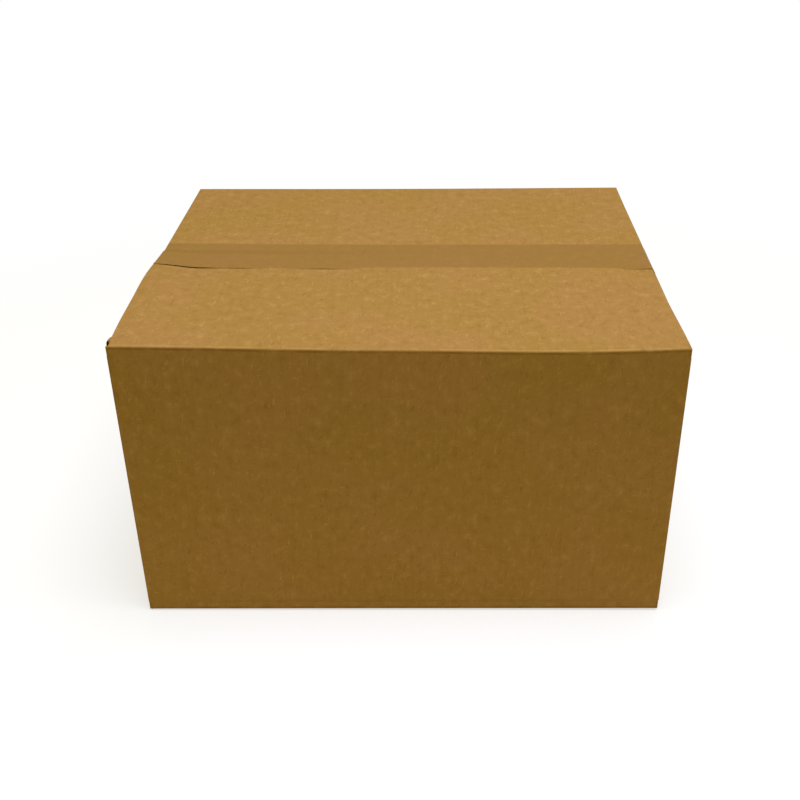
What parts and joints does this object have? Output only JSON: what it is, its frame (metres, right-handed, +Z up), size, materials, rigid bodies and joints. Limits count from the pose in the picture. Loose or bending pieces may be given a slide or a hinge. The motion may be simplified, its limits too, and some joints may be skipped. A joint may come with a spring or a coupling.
{
  "type": "closed cardboard box",
  "caption": "Closed slotted carton of brown corrugated board, its flaps folded shut and held by brown packing tape.",
  "frame": {"origin": "middle of the bottom, on the surface that the box stands on", "axes": "+X to the right along the box's length and its taped seam, +Y to the back, +Z up"},
  "size_m": [0.3562, 0.305, 0.2105],
  "materials": {
    "kraft_board": "matt",
    "brown_tape": "satin"
  },
  "bodies": {
    "root": {"carton": "kraft_board", "top_tape": "brown_tape", "bottom_tape": "brown_tape"}
  },
  "joints": []
}
